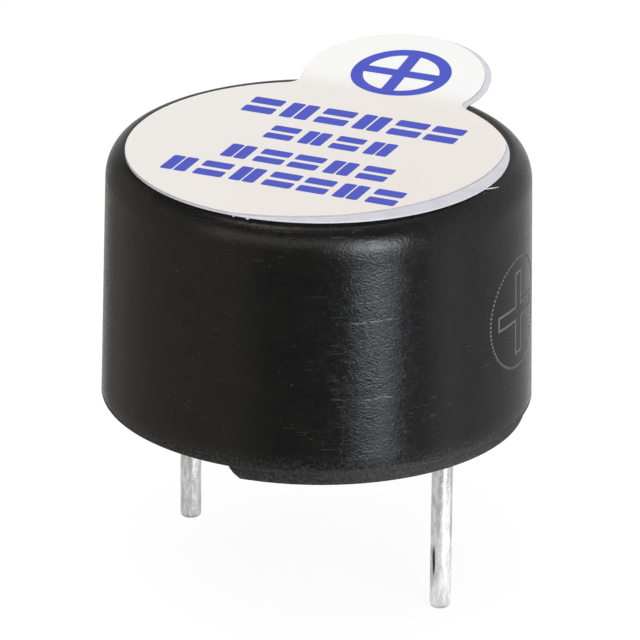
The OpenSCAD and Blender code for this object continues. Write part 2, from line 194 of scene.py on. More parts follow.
# Skin of the poured resin: how it creeps up the wall and the pins, and where it sits in the casting
CREEP = 0.09
CREEP_W = 0.42
CREEP_STEPS = 8
CREEP_POWER = 2.2
SKIN_T = 0.01
SKIN_Z = RESIN_Z - SKIN_T
SKIN_ROOT = 0.05
SKIN_R = BORE_R - 0.002
COLLAR_R = PIN_R - 0.03
COLLAR_W = 0.53
COLLAR_ROOT = 0.02

# Shading is smoothed over edges flatter than this many degrees
SMOOTH = 35
SMOOTH_LABEL = 20
SMOOTH_RESIN = 60
SMOOTH_GLUE = 80

# Steps in which forms are turned or divided
CASE_STEPS = 240
WALL_STEPS = 16
SHOULDER_STEPS = 24
EDGE_STEPS = 4
FOOT_STEPS = 72
LABEL_STEPS = 200
TAB_STEPS = 120
RING_STEPS = 96
RING_CUTS = 4
PIN_STEPS = 64
PIN_END_STEPS = 6
BEAD_STEPS = (16, 14)
BAR_CORNER_STEPS = 4
RESIN_STEPS = 160
COLLAR_STEPS = 48
ARC_STEPS = 12

# Camera, seen from above: the photographer stands turned from the -Y side towards +X
CAMERA_TURN = 22
CAMERA_PLACE = (67.585, -167.076, 76.892)
CAMERA_RIGHT = (0.92555822, 0.37846933, 0.01014665)
CAMERA_UP = (-0.15316315, 0.34978695, 0.92422407)
CAMERA_BACK = (0.3462413, -0.85697728, 0.38171574)
CAMERA_LENS = 394.9
SENSOR_W = 36
CLIP_NEAR = 1
CLIP_FAR = 10000


# Modelling helpers

def deselect():
    """Leaves edit mode, and leaves nothing selected."""
    if bpy.context.mode != "OBJECT":
        bpy.ops.object.mode_set(mode="OBJECT")
    bpy.ops.object.select_all(action="DESELECT")


def activate(piece):
    """Selects one piece alone and makes it the active one."""
    deselect()
    piece.select_set(True)
    bpy.context.view_layer.objects.active = piece


def name_piece(name):
    """Names the object just added and applies its place, turn and scale."""
    piece = bpy.context.object
    piece.name = name
    piece.data.name = name
    bpy.ops.object.transform_apply(location=True, rotation=True, scale=True)
    return piece


def draw(name, points):
    """A line from point to point. It ends in edit mode."""
    deselect()
    bpy.ops.mesh.primitive_plane_add(size=MM, location=Vector(points[0]) * MM)
    piece = name_piece(name)
    bpy.ops.object.mode_set(mode="EDIT")
    bpy.ops.mesh.select_mode(type="VERT")
    bpy.ops.mesh.select_all(action="SELECT")
    bpy.ops.mesh.merge(type="CENTER")
    for here, there in zip(points, points[1:]):
        step = (Vector(there) - Vector(here)) * MM
        bpy.ops.mesh.extrude_region_move(TRANSFORM_OT_translate={"value": step})
    return piece


def clean_up():
    """Merges doubles, turns all faces outwards and leaves edit mode."""
    bpy.ops.mesh.select_all(action="SELECT")
    bpy.ops.mesh.remove_doubles(threshold=MERGE)
    bpy.ops.mesh.normals_make_consistent(inside=False)
    bpy.ops.object.mode_set(mode="OBJECT")


def turned(name, profile, centre=(0, 0), steps=CASE_STEPS, sweep=360):
    """A section of (radius, height) points, spun round an upright axis."""
    piece = draw(name, [(centre[0] + r, centre[1], z) for r, z in profile])
    middle = (centre[0] * MM, centre[1] * MM, 0)
    bpy.ops.mesh.select_all(action="SELECT")
    bpy.ops.mesh.spin(steps=steps, angle=math.radians(sweep), center=middle, axis=(0, 0, -1))
    clean_up()
    return piece


def slab(name, outline, low, high):
    """A closed outline of (x, y) points, filled and raised from one height to the other."""
    piece = draw(name, [(x, y, low) for x, y in outline + outline[:1]])
    bpy.ops.mesh.select_all(action="SELECT")
    bpy.ops.mesh.remove_doubles(threshold=MERGE)
    bpy.ops.mesh.select_all(action="SELECT")
    bpy.ops.mesh.edge_face_add()
    bpy.ops.mesh.extrude_region_move(TRANSFORM_OT_translate={"value": (0, 0, (high - low) * MM)})
    clean_up()
    return piece


def arc(centre, radius, start, end, steps=ARC_STEPS):
    """Points along an arc, with angles in degrees."""
    turns = [math.radians(start + (end - start) * i / steps) for i in range(steps + 1)]
    x, y = centre
    return [(x + radius * math.cos(turn), y + radius * math.sin(turn)) for turn in turns]


def apply_modifier(piece, kind, **settings):
    """Adds a modifier with these settings and applies it at once."""
    activate(piece)
    modifier = piece.modifiers.new(kind, kind)
    for name, value in settings.items():
        setattr(modifier, name, value)
    bpy.ops.object.modifier_apply(modifier=modifier.name)


def pick(piece, kind, test):
    """In edit mode, selects the corners or the faces whose middle passes the test."""
    bpy.ops.mesh.select_mode(type=kind)
    bpy.ops.mesh.select_all(action="DESELECT")
    mesh = bmesh.from_edit_mesh(piece.data)
    for part in mesh.verts if kind == "VERT" else mesh.faces:
        corners = [part] if kind == "VERT" else part.verts
        middle = sum((corner.co for corner in corners), Vector()) / len(corners) / MM
        part.select_set(bool(test(middle)))
    bmesh.update_edit_mesh(piece.data)


def ease_edges(piece, width, angle):
    """Rounds the edges whose faces meet at more than this many degrees."""
    limit = math.radians(angle)
    apply_modifier(piece, "BEVEL", width=width * MM, segments=2, limit_method="ANGLE", angle_limit=limit)


def roughen(piece, lump, depth, middle):
    """Makes a surface lumpy. Lump is the size of the lumps, middle the level that stays in place."""
    lumps = bpy.data.textures.new("lumps", "CLOUDS")
    lumps.noise_scale = lump * MM
    settings = {"strength": depth * MM, "mid_level": middle}
    apply_modifier(piece, "DISPLACE", texture=lumps, texture_coords="LOCAL", **settings)


def join(pieces, name):
    """Joins pieces into the first one, under a new name."""
    activate(pieces[0])
    for piece in pieces:
        piece.select_set(True)
    bpy.ops.object.join()
    pieces[0].name = name
    pieces[0].data.name = name
    return pieces[0]


def smooth(piece, angle=SMOOTH):
    """Smooths the shading over edges flatter than this many degrees."""
    activate(piece)
    bpy.ops.object.shade_smooth_by_angle(angle=math.radians(angle))


def dress(piece, slot, *materials, stands_for=()):
    """Gives a piece its materials, its body and the solids that it stands for. The slot is not used."""
    piece.data.materials.clear()
    for material in materials:
        piece.data.materials.append(material)
    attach(piece, "root")
    if stands_for:
        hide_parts(*stands_for)
    return piece


# Material helpers

def node(tree, kind, inputs=None, **settings):
    """A new node. Each of its inputs takes a socket or a plain value."""
    made = tree.nodes.new("ShaderNode" + kind)
    for name, value in settings.items():
        setattr(made, name, value)
    for place, value in (inputs or {}).items():
        if isinstance(value, bpy.types.NodeSocket):
            tree.links.new(value, made.inputs[place])
        else:
            made.inputs[place].default_value = value
    return made


def calc(tree, operation, *values):
    """The result of one sum."""
    return node(tree, "Math", dict(enumerate(values)), operation=operation).outputs[0]


def plus(tree, first, second):
    return calc(tree, "ADD", first, second)


def less(tree, first, second):
    return calc(tree, "SUBTRACT", first, second)


def times(tree, first, second):
    return calc(tree, "MULTIPLY", first, second)


def split(tree, vector):
    """The three parts of a vector."""
    return node(tree, "SeparateXYZ", {0: vector}).outputs


def ramp(tree, value, low, high, to_low=0.0, to_high=1.0):
    """A smooth rise from to_low to to_high, as the value goes from low to high."""
    inputs = {"Value": value, "From Min": low, "From Max": high, "To Min": to_low, "To Max": to_high}
    return node(tree, "MapRange", inputs, interpolation_type="SMOOTHSTEP").outputs[0]


def blend(tree, share, first, second):
    """The first colour, mixed towards the second."""
    inputs = {0: share}
    for place, colour in ((6, first), (7, second)):
        is_socket = isinstance(colour, bpy.types.NodeSocket)
        inputs[place] = colour if is_socket else (*colour, 1)
    return node(tree, "Mix", inputs, data_type="RGBA").outputs[2]


def noise(tree, vector, size, detail=3.0, roughness=0.5, stretch=(1, 1, 1)):
    """Noise whose features are about size millimetres across, drawn out by stretch."""
    finer = [1 / (size * share) for share in stretch]
    scaled = node(tree, "VectorMath", {0: vector, 1: finer}, operation="MULTIPLY").outputs[0]
    inputs = {"Vector": scaled, "Scale": 1.0, "Detail": detail, "Roughness": roughness}
    return node(tree, "TexNoise", inputs).outputs[0]


def new_group(name, inputs):
    """A node group that gives one share. Its first input is the place, in millimetres."""
    tree = bpy.data.node_groups.new(name, "ShaderNodeTree")
    for label, default in [("Vector", None), *inputs]:
        kind = "NodeSocketVector" if default is None else "NodeSocketFloat"
        socket = tree.interface.new_socket(name=label, in_out="INPUT", socket_type=kind)
        if default is not None:
            socket.default_value = default
    tree.interface.new_socket(name="Share", in_out="OUTPUT", socket_type="NodeSocketFloat")
    return tree, tree.nodes.new("NodeGroupInput").outputs, tree.nodes.new("NodeGroupOutput").inputs[0]


def enlarged(tree, given):
    """The place in a group, in units of the group's own size."""
    inputs = {0: given["Vector"], "Scale": calc(tree, "DIVIDE", 1.0, given["Size"])}
    return node(tree, "VectorMath", inputs, operation="SCALE").outputs[0]


def wrapped(tree, vector):
    """Millimetres round the axis and up it, for marks that run round a turned form."""
    x, y, z = split(tree, vector)
    around = times(tree, calc(tree, "ARCTAN2", y, x), CASE_R)
    return node(tree, "CombineXYZ", {0: around, 1: z, 2: 0.0}).outputs[0]


def make_cloud_group():
    """Large soft clouds, about eleven times Size across."""
    tree, given, result = new_group("Clouds", [("Size", 0.1)])
    inputs = {"Vector": enlarged(tree, given), "Scale": 0.09, "Detail": 2.0}
    slow = node(tree, "TexNoise", inputs).outputs[0]
    tree.links.new(ramp(tree, slow, 0.35, 0.65), result)
    return tree


def make_scuff_group():
    """Thin scratches that run round the form. Amount says how many there are."""
    tree, given, result = new_group("Scuffs", [("Amount", 0.35)])
    around = wrapped(tree, given["Vector"])
    lines = noise(tree, around, 0.05, detail=2.0, stretch=(14, 1, 1))
    places = noise(tree, around, 1.1, detail=1.0, stretch=(1.4, 1, 1))
    edge = less(tree, 0.86, times(tree, given["Amount"], 0.5))
    sharp = ramp(tree, lines, edge, plus(tree, edge, 0.05))
    tree.links.new(times(tree, sharp, ramp(tree, places, 0.52, 0.64)), result)
    return tree


def make_speck_group():
    """Small round specks, spread at random. Amount says how much of a cell a speck may fill."""
    tree, given, result = new_group("Specks", [("Size", 0.3), ("Amount", 0.1)])
    cells = node(tree, "TexVoronoi", {"Vector": enlarged(tree, given), "Scale": 1.0}).outputs
    reach = times(tree, given["Amount"], cells["Color"])
    tree.links.new(calc(tree, "LESS_THAN", cells["Distance"], reach), result)
    return tree


CLOUDS = make_cloud_group()
SCUFFS = make_scuff_group()
SPECKS = make_speck_group()


def use_group(tree, group, **inputs):
    """The share that a group gives at these inputs."""
    return node(tree, "Group", inputs, node_tree=group).outputs[0]


def in_millimetres(tree):
    """The piece's own coordinates."""
    coordinates = node(tree, "TexCoord").outputs["Object"]
    return node(tree, "VectorMath", {0: coordinates, "Scale": 1 / MM}, operation="SCALE").outputs[0]


def start_material(name, metallic=0.0):
    """A material with its shader, and the piece's own coordinates in millimetres."""
    material = bpy.data.materials.new(name)
    material.use_nodes = True
    tree = material.node_tree
    shader = tree.nodes["Principled BSDF"]
    shader.inputs["Metallic"].default_value = metallic
    return material, tree, shader, in_millimetres(tree)


def connect(tree, shader, colour, roughness, height, depth):
    """Feeds the shader. Depth is the relief in millimetres."""
    bump = node(tree, "Bump", {"Strength": 1.0, "Distance": depth * MM, "Height": height}).outputs[0]
    for socket, value in (("Base Color", colour), ("Roughness", roughness), ("Normal", bump)):
        tree.links.new(value, shader.inputs[socket])


def scratch(tree, around, start, end, level):
    """The share of one fine broken scratch that runs round the wall from start to end."""
    along, up, _ = split(tree, around)
    sway = times(tree, noise(tree, around, 0.7, detail=2.0), SCRATCH_SWAY)
    off = calc(tree, "ABSOLUTE", less(tree, plus(tree, up, sway), level + SCRATCH_SWAY / 2))
    from_start = ramp(tree, along, start, start + SCRATCH_FADE)
    from_end = ramp(tree, along, end, end - SCRATCH_FADE)
    broken = ramp(tree, noise(tree, around, 0.09, detail=2.0, stretch=(2, 1, 1)), 0.4, 0.52)
    ends = times(tree, from_start, from_end)
    return times(tree, ramp(tree, off, *SCRATCH_HALF), times(tree, ends, broken))


def case_black():
    """Half-gloss moulded black: fine grain, scratches round the wall, rubbed places and a little dust."""
    material, tree, shader, vector = start_material("case black")
    around = wrapped(tree, vector)
    z = split(tree, vector)[2]

    # Where it is marked: scratches, dust, the rubbed foot of the wall, the shoulder's grain and the rim
    scuffs = use_group(tree, SCUFFS, Vector=vector, Amount=0.44)
    dust = use_group(tree, SPECKS, Vector=vector, Size=0.4, Amount=0.07)
    first, *others = [scratch(tree, around, *place) for place in SCRATCHES]
    scratched = plus(tree, first, plus(tree, *others))
    crumbs = noise(tree, vector, 0.075, roughness=0.7)
    worn = times(tree, ramp(tree, z, *RUBBED_Z), ramp(tree, crumbs, 0.44, 0.62))
    shoulder = times(tree, ramp(tree, z, *SHOULDER_LOW_Z), ramp(tree, z, *SHOULDER_HIGH_Z))
    rim = ramp(tree, z, *ROUGH_RIM_Z)

    clouds = use_group(tree, CLOUDS, Vector=vector, Size=0.06)
    colour = blend(tree, clouds, (0.0072, 0.0070, 0.0066), (0.0054, 0.0054, 0.0056))
    colour = blend(tree, times(tree, scuffs, 0.2), colour, (0.05, 0.052, 0.06))
    colour = blend(tree, times(tree, worn, 0.6), colour, (0.06, 0.06, 0.062))
    colour = blend(tree, times(tree, scratched, 0.9), colour, (0.12, 0.122, 0.13))
    colour = blend(tree, times(tree, dust, 0.6), colour, (0.12, 0.12, 0.13))

    rubbed = noise(tree, around, 0.28, detail=4.0, roughness=0.7, stretch=(1.6, 1, 1))
    streaked = noise(tree, around, 0.07, detail=4.0, roughness=0.75, stretch=(2.5, 1, 1))
    rough = ramp(tree, rubbed, 0.36, 0.66, 0.15, 0.22)
    for share, added in ((ramp(tree, streaked, 0.5, 0.6), 0.1), (scuffs, 0.15), (rim, 0.3)):
        rough = plus(tree, rough, times(tree, share, added))

    brushed = noise(tree, around, 0.035, detail=4.0, roughness=0.7, stretch=(5, 1, 1))
    rolling = noise(tree, vector, 0.24, detail=2.0, stretch=(1, 1, 1.5))
    height = times(tree, noise(tree, vector, 0.06, detail=1.5), 0.45)
    for relief, added in ((rolling, 0.35), (brushed, 0.12), (times(tree, crumbs, shoulder), 0.75)):
        height = plus(tree, height, times(tree, relief, added))
    height = less(tree, height, times(tree, scuffs, 0.35))
    connect(tree, shader, colour, rough, height, depth=0.011)
    return material


def label_film():
    """Coated white film, faintly pink and speckled, with painted light: lighter towards the left and the
    back, and whiter on the tab that lifts off the case.
    """
    material, tree, shader, vector = start_material("label film")
    x, y, _ = split(tree, vector)
    ground = noise(tree, vector, 0.06, detail=4.0, roughness=0.7)
    slow = noise(tree, vector, 1.4, detail=2.0)
    # Painted light and shade: the film's right side darker and pinker, its left side lighter
    tint = blend(tree, ramp(tree, x, *LABEL_LIT_LEFT_X), (0.86, 0.795, 0.745), (0.885, 0.845, 0.80))
    # Painted light: the film lighter towards the back
    tint = blend(tree, ramp(tree, y, *LABEL_LIT_BACK_Y, 0.0, 0.35), tint, (0.92, 0.875, 0.845))
    tint = blend(tree, ramp(tree, ground, 0.42, 0.62, 0.0, 0.5), tint, (0.87, 0.835, 0.80))
    tint = blend(tree, ramp(tree, slow, 0.4, 0.65, 0.0, 0.35), tint, (0.86, 0.83, 0.80))
    # Painted light: whiter on the tab where it lifts off the case
    tint = blend(tree, ramp(tree, y, *TAB_LIT_Y), tint, (0.915, 0.915, 0.89))
    connect(tree, shader, tint, ramp(tree, ground, 0.3, 0.7, 0.48, 0.6), ground, depth=0.0015)
    return material


def label_edge(name, colour, shade):
    """Film seen from its edge, with fine layers along it."""
    material, tree, shader, vector = start_material(name)
    layers = noise(tree, vector, 0.03, stretch=(18, 18, 1))
    colour = blend(tree, ramp(tree, layers, 0.35, 0.7), colour, shade)
    connect(tree, shader, colour, ramp(tree, layers, 0.3, 0.7, 0.5, 0.65), layers, depth=0.004)
    return material


def print_blue():
    """Blue ink, uneven on the film's grain."""
    material, tree, shader, vector = start_material("blue print")
    ground = noise(tree, vector, 0.05, detail=4.0, roughness=0.7)
    slow = noise(tree, vector, 0.5, detail=2.0)
    colour = blend(tree, ramp(tree, ground, 0.35, 0.7), (0.060, 0.080, 0.52), (0.085, 0.115, 0.60))
    colour = blend(tree, ramp(tree, slow, 0.45, 0.7, 0.0, 0.5), colour, (0.072, 0.10, 0.58))
    connect(tree, shader, colour, ramp(tree, ground, 0.3, 0.7, 0.42, 0.55), ground, depth=0.0015)
    return material


def mark_grey():
    """The frosted grey that a laser leaves in black plastic."""
    material, tree, shader, vector = start_material("laser mark")
    frost = noise(tree, vector, 0.02)
    colour = blend(tree, ramp(tree, frost, 0.3, 0.7), (0.10, 0.10, 0.102), (0.20, 0.20, 0.205))
    connect(tree, shader, colour, ramp(tree, frost, 0.3, 0.7, 0.6, 0.8), frost, depth=0.003)
    return material


def glue_clear():
    """Dried glue, clear in places and milky in others."""
    material, tree, shader, vector = start_material("dried glue")
    milk = noise(tree, vector, 0.05)
    colour = blend(tree, ramp(tree, milk, 0.35, 0.65), (0.74, 0.73, 0.72), (0.5, 0.49, 0.47))
    connect(tree, shader, colour, ramp(tree, milk, 0.3, 0.7, 0.25, 0.45), milk, depth=0.003)
    return material


def tinned_pin(name, end_z, scratched_at=None):
    """Dip-tinned wire: pale streaks, dull places, fine pits, a browned end and perhaps a dark scratch."""
    material, tree, shader, vector = start_material(name, metallic=1.0)
    z = split(tree, vector)[2]
    streaks = noise(tree, vector, 0.13, detail=5.0, roughness=0.7, stretch=(1, 1, 3.5))
    dull = noise(tree, vector, 0.3, stretch=(1, 1, 2.2))
    pits = use_group(tree, SPECKS, Vector=vector, Size=0.16, Amount=0.16)
    above_end = less(tree, plus(tree, z, times(tree, streaks, 0.12)), end_z)
    browned = ramp(tree, above_end, *BROWNED_UP_TO)
    colour = blend(tree, ramp(tree, streaks, 0.38, 0.62), (0.58, 0.58, 0.58), (0.86, 0.86, 0.87))
    colour = blend(tree, ramp(tree, dull, 0.5, 0.72, 0.0, 0.55), colour, (0.50, 0.49, 0.48))
    colour = blend(tree, times(tree, pits, 0.5), colour, (0.22, 0.21, 0.20))
    colour = blend(tree, times(tree, browned, 0.75), colour, (0.26, 0.21, 0.16))
    if scratched_at:
        away = node(tree, "VectorMath", {0: vector, 1: scratched_at}, operation="SUBTRACT").outputs[0]
        drawn = node(tree, "VectorMath", {0: away, 1: (1.0, 1.0, 0.13)}, operation="MULTIPLY").outputs[0]
        far = node(tree, "VectorMath", {0: drawn}, operation="LENGTH").outputs["Value"]
        far = plus(tree, far, times(tree, streaks, 0.06))
        colour = blend(tree, ramp(tree, far, 0.1, 0.065), colour, (0.04, 0.04, 0.04))
    height = plus(tree, streaks, times(tree, dull, 0.6))
    connect(tree, shader, colour, ramp(tree, dull, 0.35, 0.7, 0.22, 0.42), height, depth=0.009)
    return material


def plain_finish(name, colour, shade, roughness, size, depth, metallic=0.0, stretch=(1, 1, 1), dust=0.0):
    """A finish for a part inside: two near colours in fine patches, uneven roughness and a relief."""
    material, tree, shader, vector = start_material(name, metallic)
    pattern = noise(tree, vector, size, detail=4.0, roughness=0.6, stretch=stretch)
    slow = use_group(tree, CLOUDS, Vector=vector, Size=size * 1.6)
    mixed = blend(tree, ramp(tree, pattern, 0.35, 0.65), colour, shade)
    mixed = blend(tree, times(tree, slow, 0.3), mixed, [level * 0.85 for level in shade])
    if dust:
        specks = use_group(tree, SPECKS, Vector=vector, Size=size * 5, Amount=dust)
        pale = [min(1, level * 2.2 + 0.05) for level in colour]
        mixed = blend(tree, times(tree, specks, 0.6), mixed, pale)
    rough = ramp(tree, pattern, 0.3, 0.7, roughness - 0.06, roughness + 0.08)
    connect(tree, shader, mixed, rough, pattern, depth=depth)
    return material


def weave_finish(name, colour, shade):
    """Glass-cloth laminate: the weave shows through the resin as a fine raised grid."""
    material, tree, shader, vector = start_material(name)
    wave = {"Vector": vector, "Scale": 1.9, "Distortion": 0.6}
    waves = [node(tree, "TexWave", wave, bands_direction=way).outputs["Fac"] for way in ("X", "Y")]
    weave = calc(tree, "MAXIMUM", *waves)
    cloudy = use_group(tree, CLOUDS, Vector=vector, Size=0.2)
    mixed = blend(tree, times(tree, weave, 0.6), shade, colour)
    mixed = blend(tree, times(tree, cloudy, 0.3), mixed, [level * 0.8 for level in shade])
    connect(tree, shader, mixed, ramp(tree, weave, 0.2, 0.9, 0.32, 0.45), weave, depth=0.01)
    return material


def resin_gloss(name):
    """Poured resin: glossy, softly uneven, with a few pin-sized bubbles."""
    material, tree, shader, vector = start_material(name)
    rolling = noise(tree, vector, 1.3, detail=2.0)
    fine = noise(tree, vector, 0.12)
    bubbles = use_group(tree, SPECKS, Vector=vector, Size=0.9, Amount=0.09)
    colour = blend(tree, ramp(tree, rolling, 0.4, 0.6), (0.012, 0.0115, 0.011), (0.008, 0.008, 0.0085))
    height = plus(tree, rolling, times(tree, fine, 0.06))
    height = less(tree, height, times(tree, bubbles, 0.25))
    connect(tree, shader, colour, ramp(tree, fine, 0.3, 0.7, 0.12, 0.2), height, depth=0.06)
    return material


# Pieces

def wall_r(z):
    """The wall's radius at a height."""
    return CASE_R - DRAFT * (z - RIM_Z) / (TOP_Z - RIM_Z)


def make_foot(turn):
    """One foot: a ring sector under the rim, its lower corners bevelled at both ends."""
    top = RIM_Z + FOOT_ROOT
    section = [(FOOT_IN, 0), (FOOT_OUT, 0), (FOOT_OUT, top), (FOOT_IN, top), (FOOT_IN, 0)]
    foot = turned("foot", section, steps=FOOT_STEPS, sweep=FOOT_SWEEP)
    bpy.ops.object.mode_set(mode="EDIT")
    bpy.ops.mesh.select_all(action="SELECT")
    bpy.ops.mesh.fill_holes(sides=0)
    corner = Vector((0, 0, FOOT_BEVEL_H)) * MM
    slope = Vector((0, -FOOT_BEVEL_H, -FOOT_BEVEL)).normalized()
    far_end = Matrix.Rotation(math.radians(FOOT_SWEEP), 3, "Z") @ Matrix.Scale(-1, 3, (0, 1, 0))
    for end in (Matrix.Identity(3), far_end):
        bpy.ops.mesh.select_all(action="SELECT")
        bpy.ops.mesh.bisect(plane_co=end @ corner, plane_no=end @ slope, clear_outer=True)
        bpy.ops.mesh.select_all(action="SELECT")
        bpy.ops.mesh.fill_holes(sides=0)
    clean_up()
    foot.data.transform(Matrix.Rotation(math.radians(turn), 4, "Z"))
    ease_edges(foot, FOOT_ROUND, FOOT_ROUND_FROM)
    return foot


def make_case():
    """The moulded cup: a section that runs up the outside and back through the sound hole, and two feet."""
    wall_low = RIM_Z + RIM_ROUND
    wall_high = TOP_Z - TOP_ROUND_H
    section = [(BORE_R + MOUTH_BEVEL, RIM_Z)]
    section += arc((CASE_R - RIM_ROUND, wall_low), RIM_ROUND, -90, 0, EDGE_STEPS)
    for i in range(1, WALL_STEPS):
        z = wall_low + (wall_high - wall_low) * i / WALL_STEPS
        section.append((wall_r(z), z))
    round_r = wall_r(wall_high) - TOP_ROUND
    tall = TOP_ROUND_H / TOP_ROUND
    shoulder = arc((0, 0), TOP_ROUND, 0, 90, SHOULDER_STEPS)
    section += [(round_r + x, wall_high + y * tall) for x, y in shoulder]
    section += arc((HOLE_R + HOLE_ROUND, TOP_Z - HOLE_ROUND), HOLE_ROUND, 90, 180, EDGE_STEPS)
    section += [
        (HOLE_R, ROOF_Z + HOLE_BEVEL), (HOLE_R + HOLE_BEVEL, ROOF_Z),
        (CHAMBER_R, ROOF_Z), (CHAMBER_R, STEP_Z),
        (BORE_R, STEP_Z), (BORE_R, RIM_Z + MOUTH_BEVEL), (BORE_R + MOUTH_BEVEL, RIM_Z),
    ]
    case = turned("case_moulding", section)
    for turn in (FOOT_TURN, FOOT_TURN + 180):
        foot = make_foot(turn)
        apply_modifier(case, "BOOLEAN", operation="UNION", solver="EXACT", object=foot)
        bpy.data.objects.remove(foot)
    activate(case)
    bpy.ops.object.mode_set(mode="EDIT")
    clean_up()
    smooth(case)
    return dress(case, "case_black", case_black(), stands_for=["case"])


def label_outline(x, tab_x, tab_r):
    """A round label and its tab, joined by rounded corners. The tab leans sideways by tab_x."""
    span = TAB_REACH + LABEL_SHIFT
    round_to_corner = LABEL_R + TAB_CORNER
    along = (span ** 2 + round_to_corner ** 2 - (tab_r + TAB_CORNER) ** 2) / (2 * span)
    across = math.sqrt(round_to_corner ** 2 - along ** 2)
    to_round = math.degrees(math.atan2(along, across))
    to_tab = math.degrees(math.atan2(along - span, across))
    outline = arc((0, 0), LABEL_R, 180 - to_round, 360 + to_round, LABEL_STEPS)
    outline += arc((across, along), TAB_CORNER, to_round + 180, to_tab + 180)[1:]
    outline += arc((0, span), tab_r, to_tab, 180 - to_tab, TAB_STEPS)[1:]
    outline += arc((-across, along), TAB_CORNER, -to_tab, -to_round)[1:-1]
    lean = tab_x / span
    return [(x + px + max(py, 0) * lean, py - LABEL_SHIFT) for px, py in outline]


def face_outline():
    """The face paper: as the backing, but short of it at the front, at the right and right of the tab."""
    outline = []
    for x, y in label_outline(LABEL_X, FACE_TAB_X - LABEL_X, FACE_TAB_R):
        away = math.hypot(x - FACE_X, y - FACE_Y)
        share = min(1, FACE_R / away) if y < TAB_BEND_START else 1
        outline.append((FACE_X + (x - FACE_X) * share, FACE_Y + (y - FACE_Y) * share))
    return outline


def make_film(name, outline, low, high, material, edge, stands_for=()):
    """One layer of the label: cut out flat, its edges eased, then its tab bent up a little at a time."""
    film = slab(name, outline, low, high)
    ease_edges(film, LABEL_ROUND, LABEL_ROUND_FROM)
    activate(film)
    bpy.ops.object.mode_set(mode="EDIT")
    bend_l = TAB_BEND * math.radians(TAB_LIFT)
    bpy.ops.mesh.select_mode(type="FACE")
    for i in range(BEND_STEPS + 1):
        y = TAB_BEND_START + bend_l * i / BEND_STEPS
        bpy.ops.mesh.select_all(action="SELECT")
        bpy.ops.mesh.bisect(plane_co=(0, y * MM, 0), plane_no=(0, 1, 0))
    bend_up(film, bend_l / BEND_STEPS)
    bpy.ops.object.mode_set(mode="OBJECT")
    smooth(film, SMOOTH_LABEL)
    dress(film, "label_white", material, edge, stands_for=stands_for)
    for face in film.data.polygons:
        face.material_index = 1 if abs(face.normal.z) < FLAT_FACE else 0
    return film


def bend_up(film, step_l):
    """Turns all that lies beyond each hinge up by one share. The first hinge lies on the case's top."""
    share = math.radians(TAB_LIFT) / BEND_STEPS
    hinge = Vector((0, TAB_BEND_START, TOP_Z))
    along = Vector((0, 1, 0))
    for i in range(BEND_STEPS):
        pick(film, "VERT", lambda place: (place - hinge).dot(along) > HINGE_SLACK)
        bpy.ops.transform.rotate(
            value=BEND_SIGN * share, orient_axis="X", orient_type="GLOBAL", center_override=hinge * MM
        )
        lifted = share * (i + 1)
        along = Vector((0, math.cos(lifted), math.sin(lifted)))
        hinge = hinge + along * step_l


def make_label():
    """The label's two layers. Returns the upper one, which takes the print."""
    backing_top = TOP_Z + BACKING_T
    # The backing's lavender grey, darker than the face paper, is partly its own tone and partly painted
    # shade of the band that shows between the two layers
    backing = label_edge("label backing with painted shade", (0.68, 0.672, 0.73), (0.61, 0.60, 0.66))
    # The face paper's cut edge is painted shade: a darker grey that stands for the shade along the step down
    # onto the backing
    cut = label_edge("label cut edge painted shade", (0.60, 0.585, 0.58), (0.50, 0.485, 0.48))
    outline = label_outline(LABEL_X, 0, TAB_R)
    make_film("label_backing", outline, TOP_Z, backing_top, backing, backing, stands_for=["seal_label"])
    return make_film("label_face", face_outline(), backing_top, TOP_Z + LABEL_T, label_film(), cut)


def make_bar(name, x0, x1, y0, y1):
    """One printed bar with rounded corners, flat above the label."""
    deselect()
    middle = ((x0 + x1) / 2 * MM, (y0 + y1) / 2 * MM, INK_DRAWN_Z * MM)
    bpy.ops.mesh.primitive_plane_add(size=MM, location=middle)
    bpy.context.object.scale = (x1 - x0, y1 - y0, 1)
    bar = name_piece(name)
    bpy.ops.object.mode_set(mode="EDIT")
    bpy.ops.mesh.select_all(action="SELECT")
    bpy.ops.mesh.bevel(offset=BAR_ROUND * MM, segments=BAR_CORNER_STEPS, affect="VERTICES")
    bpy.ops.object.mode_set(mode="OBJECT")
    return bar


def row_bars(left, right, low, high, pattern):
    """The bars of one row: two lying bars for each =, two standing bars for each |."""
    cell = (right - left + CELL_GAP) / len(pattern)
    thick = (high - low) * BAR_SHARE
    wide = (cell - CELL_GAP) * BAR_SHARE
    inset = CELL_GAP / 3
    for i, sign in enumerate(pattern):
        x0 = left + i * cell
        x1 = x0 + cell - CELL_GAP
        if sign == "=":
            yield x0, x1, low, low + thick
            yield x0, x1, high - thick, high
        else:
            yield x0 + inset, x0 + inset + wide, low, high
            yield x1 - inset - wide, x1 - inset, low, high


def lay_ink(ink, face, level):
    """Lays flat print on the label's face and gives it a body. Level sets which print lies on top."""
    apply_modifier(
        ink, "SHRINKWRAP", target=face, wrap_method="PROJECT", use_project_z=True,
        use_positive_direction=False, use_negative_direction=True, offset=INK_LIFT * (1 + level) * MM,
    )
    apply_modifier(ink, "SOLIDIFY", thickness=INK_T * MM, offset=-1)
    return ink


